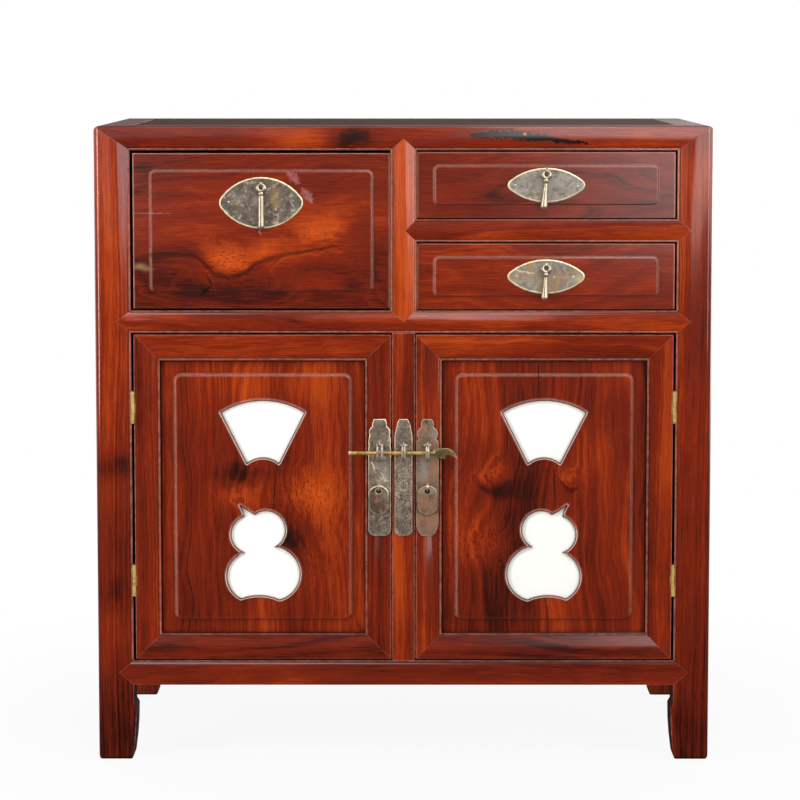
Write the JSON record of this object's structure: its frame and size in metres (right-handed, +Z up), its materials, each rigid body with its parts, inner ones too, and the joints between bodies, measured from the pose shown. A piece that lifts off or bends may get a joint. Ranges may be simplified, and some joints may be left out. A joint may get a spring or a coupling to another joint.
{
  "type": "kang cabinet",
  "caption": "Low hardwood cabinet: drawers over a two-door cupboard with fan and gourd openings and a bar lock.",
  "frame": {"origin": "middle of the floor print, on the floor", "axes": "+X to the right as seen from the front, the front faces -Y, +Z up"},
  "size_m": [0.72, 0.3902, 0.748],
  "materials": {
    "frame_wood": "polished rosewood",
    "panel_wood": "polished burl rosewood",
    "inner_wood": "plain, unpolished",
    "pale_stone": "honed creamy white",
    "dark_bronze": "dark patina, worn rims",
    "pale_bronze": "worn pale bronze",
    "yellow_brass": "worn yellow brass"
  },
  "bodies": {
    "carcass": {"post_front_left": "frame_wood", "post_front_right": "frame_wood", "post_back_left": "frame_wood", "post_back_right": "frame_wood", "top_rail_front": "frame_wood", "top_rail_back": "frame_wood", "top_rails_side": "frame_wood", "top_panel": "frame_wood", "top_braces": "inner_wood", "mid_rail_front": "frame_wood", "bottom_rail_front": "frame_wood", "drawer_rail_front": "frame_wood", "drawer_divider_front": "frame_wood", "center_stile": "frame_wood", "mid_rails_side": "frame_wood", "bottom_rails_side": "frame_wood", "back_rails": "inner_wood", "side_panels": "frame_wood", "back_panels": "inner_wood", "bottom_board": "inner_wood", "drawer_floor": "inner_wood", "drawer_partition": "inner_wood", "drawer_runners": "inner_wood", "hinge_post_leaves": "pale_bronze", "hinge_pins": "pale_bronze", "center_lock_plate": "dark_bronze", "center_staple": "pale_bronze"},
    "lock_bar": {"lock_bar": "yellow_brass"},
    "door_left": {"door_left_stiles": "frame_wood", "door_left_rails": "frame_wood", "door_left_panel": "panel_wood", "door_left_plaques": "pale_stone", "door_left_hinge_leaves": "pale_bronze", "door_left_lock_plate": "dark_bronze", "door_left_staples": "pale_bronze"},
    "door_left_tag": {"door_left_pull_tag": "dark_bronze"},
    "door_right": {"door_right_stiles": "frame_wood", "door_right_rails": "frame_wood", "door_right_panel": "panel_wood", "door_right_plaques": "pale_stone", "door_right_hinge_leaves": "pale_bronze", "door_right_lock_plate": "dark_bronze", "door_right_staples": "pale_bronze"},
    "door_right_tag": {"door_right_pull_tag": "dark_bronze"},
    "drawer_left": {"drawer_left_front": "frame_wood", "drawer_left_box": "inner_wood", "drawer_left_pull_plate": "dark_bronze", "drawer_left_pull_loop": "pale_bronze"},
    "drawer_left_drop": {"drawer_left_pull_drop": "dark_bronze"},
    "drawer_upper": {"drawer_upper_front": "frame_wood", "drawer_upper_box": "inner_wood", "drawer_upper_pull_plate": "dark_bronze", "drawer_upper_pull_loop": "pale_bronze"},
    "drawer_upper_drop": {"drawer_upper_pull_drop": "dark_bronze"},
    "drawer_lower": {"drawer_lower_front": "frame_wood", "drawer_lower_box": "inner_wood", "drawer_lower_pull_plate": "dark_bronze", "drawer_lower_pull_loop": "pale_bronze"},
    "drawer_lower_drop": {"drawer_lower_pull_drop": "dark_bronze"}
  },
  "joints": [
    {"name": "door_left_hinge", "type": "hinge", "parent": "carcass", "child": "door_left", "pos_m": [-0.3164, -0.1849, 0], "axis": [0, 0, -1], "range_deg": [0, 165]},
    {"name": "door_left_tag_swing", "type": "hinge", "parent": "door_left", "child": "door_left_tag", "pos_m": [-0.02915, -0.1886, 0.32665], "axis": [-1, 0, 0], "range_deg": [0, 90]},
    {"name": "door_right_hinge", "type": "hinge", "parent": "carcass", "child": "door_right", "pos_m": [0.3164, -0.1849, 0], "axis": [0, 0, 1], "range_deg": [0, 165]},
    {"name": "door_right_tag_swing", "type": "hinge", "parent": "door_right", "child": "door_right_tag", "pos_m": [0.02795, -0.1886, 0.32665], "axis": [-1, 0, 0], "range_deg": [0, 90]},
    {"name": "drawer_left_slide", "type": "slide", "parent": "carcass", "child": "drawer_left", "axis": [0, -1, 0], "range_m": [0, 0.27]},
    {"name": "drawer_left_drop_swing", "type": "hinge", "parent": "drawer_left", "child": "drawer_left_drop", "pos_m": [-0.1653, -0.1911, 0.6805], "axis": [-1, 0, 0], "range_deg": [0, 90]},
    {"name": "drawer_upper_slide", "type": "slide", "parent": "carcass", "child": "drawer_upper", "axis": [0, -1, 0], "range_m": [0, 0.27]},
    {"name": "drawer_upper_drop_swing", "type": "hinge", "parent": "drawer_upper", "child": "drawer_upper_drop", "pos_m": [0.1658, -0.1911, 0.6957], "axis": [-1, 0, 0], "range_deg": [0, 90]},
    {"name": "drawer_lower_slide", "type": "slide", "parent": "carcass", "child": "drawer_lower", "axis": [0, -1, 0], "range_m": [0, 0.27]},
    {"name": "drawer_lower_drop_swing", "type": "hinge", "parent": "drawer_lower", "child": "drawer_lower_drop", "pos_m": [0.1658, -0.1911, 0.5867], "axis": [-1, 0, 0], "range_deg": [0, 90]},
    {"name": "lock_bar_slide", "type": "slide", "parent": "door_right", "child": "lock_bar", "axis": [1, 0, 0], "range_m": [0, 0.078]}
  ]
}
